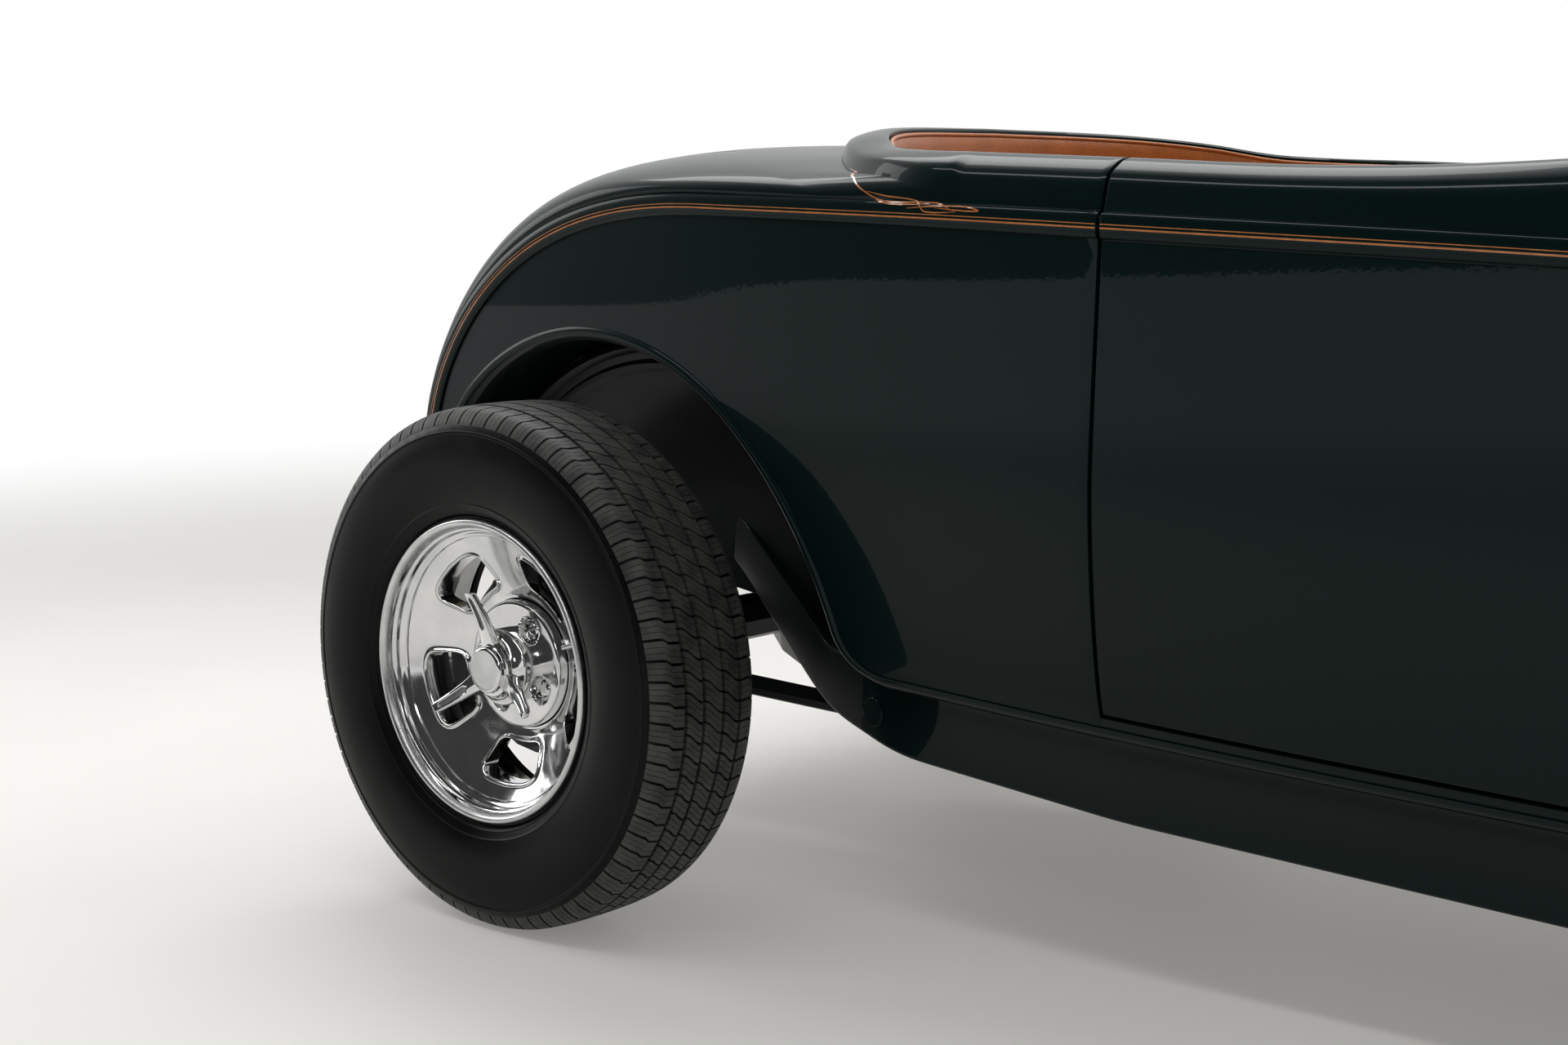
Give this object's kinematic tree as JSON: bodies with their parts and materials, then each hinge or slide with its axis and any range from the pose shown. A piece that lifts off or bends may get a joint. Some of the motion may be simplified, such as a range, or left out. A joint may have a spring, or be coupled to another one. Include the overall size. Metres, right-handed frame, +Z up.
{
  "type": "street rod roadster",
  "caption": "Open street rod roadster with an unfendered body, rear-hinged doors, folding hood tops, a deck lid, a low windshield, alloy wheels and steering front wheels.",
  "frame": {"origin": "on the ground, at the middle of the car's length and width", "axes": "+X towards the nose, +Y towards the car's left side, +Z up"},
  "size_m": [3.6488, 1.64, 1.3044],
  "materials": {
    "paint": "gloss dark green paint",
    "leather": "semi-gloss tan leather",
    "polished_alloy": "polished",
    "chrome_steel": "plated",
    "tyre_rubber": "matt black",
    "black_steel": "satin black paint",
    "cast_metal": "cast",
    "clear_glass": "clear",
    "red_lens": "clear red"
  },
  "bodies": {
    "chassis": {"cowl": "paint", "dash": "paint", "driveshaft": "black_steel", "engine": "cast_metal", "exhaust_left": "chrome_steel", "exhaust_right": "chrome_steel", "firewall": "paint", "floor": "black_steel", "frame": "paint", "front_axle": "chrome_steel", "fuel_tank": "black_steel", "grille": "chrome_steel", "grille_shell": "paint", "headlamp_bar": "chrome_steel", "headlamp_left": "chrome_steel", "headlamp_right": "chrome_steel", "hood_hinge": "chrome_steel", "hood_side_left": "paint", "hood_side_right": "paint", "radiator": "black_steel", "radius_rod_left": "chrome_steel", "radius_rod_right": "chrome_steel", "rear_axle": "black_steel", "rear_body": "paint", "seat_back": "leather", "seat_base": "black_steel", "seat_cushion": "leather", "steering_box": "cast_metal", "steering_column": "chrome_steel", "tail_lamp_left": "red_lens", "tail_lamp_right": "red_lens", "windshield_frame": "chrome_steel", "windshield_glass": "clear_glass"},
    "door_left": {"door_left": "paint"},
    "door_right": {"door_right": "paint"},
    "deck_lid": {"deck_lid": "paint"},
    "hood_top_left": {"hood_top_left": "paint"},
    "hood_top_right": {"hood_top_right": "paint"},
    "steering_wheel": {"steering_wheel": "polished_alloy"},
    "knuckle_left": {"knuckle_left": "chrome_steel"},
    "knuckle_right": {"knuckle_right": "chrome_steel"},
    "tie_rod": {"tie_rod": "chrome_steel"},
    "drag_link": {"drag_link": "chrome_steel"},
    "pitman_arm": {"pitman_arm": "chrome_steel"},
    "wheel_front_left": {"tyre_front_left": "tyre_rubber", "wheel_front_left": "polished_alloy"},
    "wheel_front_right": {"tyre_front_right": "tyre_rubber", "wheel_front_right": "polished_alloy"},
    "wheel_rear_left": {"tyre_rear_left": "tyre_rubber", "wheel_rear_left": "polished_alloy"},
    "wheel_rear_right": {"tyre_rear_right": "tyre_rubber", "wheel_rear_right": "polished_alloy"}
  },
  "joints": [
    {"name": "spin_rear_left", "type": "hinge", "parent": "chassis", "child": "wheel_rear_left", "pos_m": [-1.3506, 0.712, 0.386], "axis": [0, 1, 0], "continuous": true},
    {"name": "spin_rear_right", "type": "hinge", "parent": "chassis", "child": "wheel_rear_right", "pos_m": [-1.3506, -0.712, 0.386], "axis": [0, 1, 0], "continuous": true},
    {"name": "steer_right", "type": "hinge", "parent": "chassis", "child": "knuckle_right", "pos_m": [1.4944, -0.585, 0.33], "axis": [0, 0, 1], "range_deg": [-28, 28]},
    {"name": "steer_left", "type": "hinge", "parent": "chassis", "child": "knuckle_left", "pos_m": [1.4944, 0.585, 0.33], "axis": [0, 0, 1], "range_deg": [-28, 28]},
    {"name": "spin_front_left", "type": "hinge", "parent": "knuckle_left", "child": "wheel_front_left", "pos_m": [1.4944, 0.7, 0.33], "axis": [0, 1, 0], "continuous": true},
    {"name": "spin_front_right", "type": "hinge", "parent": "knuckle_right", "child": "wheel_front_right", "pos_m": [1.4944, -0.7, 0.33], "axis": [0, 1, 0], "continuous": true},
    {"name": "tie_rod_pivot", "type": "hinge", "parent": "knuckle_right", "child": "tie_rod", "pos_m": [1.3544, -0.585, 0.2267], "axis": [0, 0, 1], "range_deg": [-28, 28]},
    {"name": "drag_link_pivot", "type": "hinge", "parent": "knuckle_right", "child": "drag_link", "pos_m": [1.3194, -0.585, 0.2623], "axis": [0, 0, 1], "range_deg": [-28, 28]},
    {"name": "pitman_pivot", "type": "hinge", "parent": "chassis", "child": "pitman_arm", "pos_m": [1.2894, 0.2, 0.281], "axis": [0, 0, 1], "range_deg": [-28, 28]},
    {"name": "steering_wheel_turn", "type": "hinge", "parent": "chassis", "child": "steering_wheel", "pos_m": [0.0291, 0.27, 0.914], "axis": [0.7547, 0, -0.6561], "range_deg": [-336, 336]},
    {"name": "door_left_hinge", "type": "hinge", "parent": "chassis", "child": "door_left", "pos_m": [-0.406, 0.642, 0.7516], "axis": [0.0523, 0, 0.9986], "range_deg": [0, 65]},
    {"name": "door_right_hinge", "type": "hinge", "parent": "chassis", "child": "door_right", "pos_m": [-0.406, -0.642, 0.7516], "axis": [0.0523, 0, 0.9986], "range_deg": [-65, 0]},
    {"name": "deck_lid_hinge", "type": "hinge", "parent": "chassis", "child": "deck_lid", "pos_m": [-1.2069, 0, 1.1418], "axis": [0, 1, 0], "range_deg": [0, 60]},
    {"name": "hood_left_hinge", "type": "hinge", "parent": "chassis", "child": "hood_top_left", "pos_m": [1.0437, 0, 0.9931], "axis": [0.9922, 0, -0.1244], "range_deg": [0, 70]},
    {"name": "hood_right_hinge", "type": "hinge", "parent": "chassis", "child": "hood_top_right", "pos_m": [1.0437, 0, 0.9931], "axis": [0.9922, 0, -0.1244], "range_deg": [-70, 0]}
  ],
  "couplings": [
    {"joint": "steer_left", "follows": "steer_right", "ratio": 1},
    {"joint": "tie_rod_pivot", "follows": "steer_right", "ratio": -1},
    {"joint": "drag_link_pivot", "follows": "steer_right", "ratio": -1},
    {"joint": "pitman_pivot", "follows": "steer_right", "ratio": 1},
    {"joint": "steering_wheel_turn", "follows": "steer_right", "ratio": -12}
  ]
}
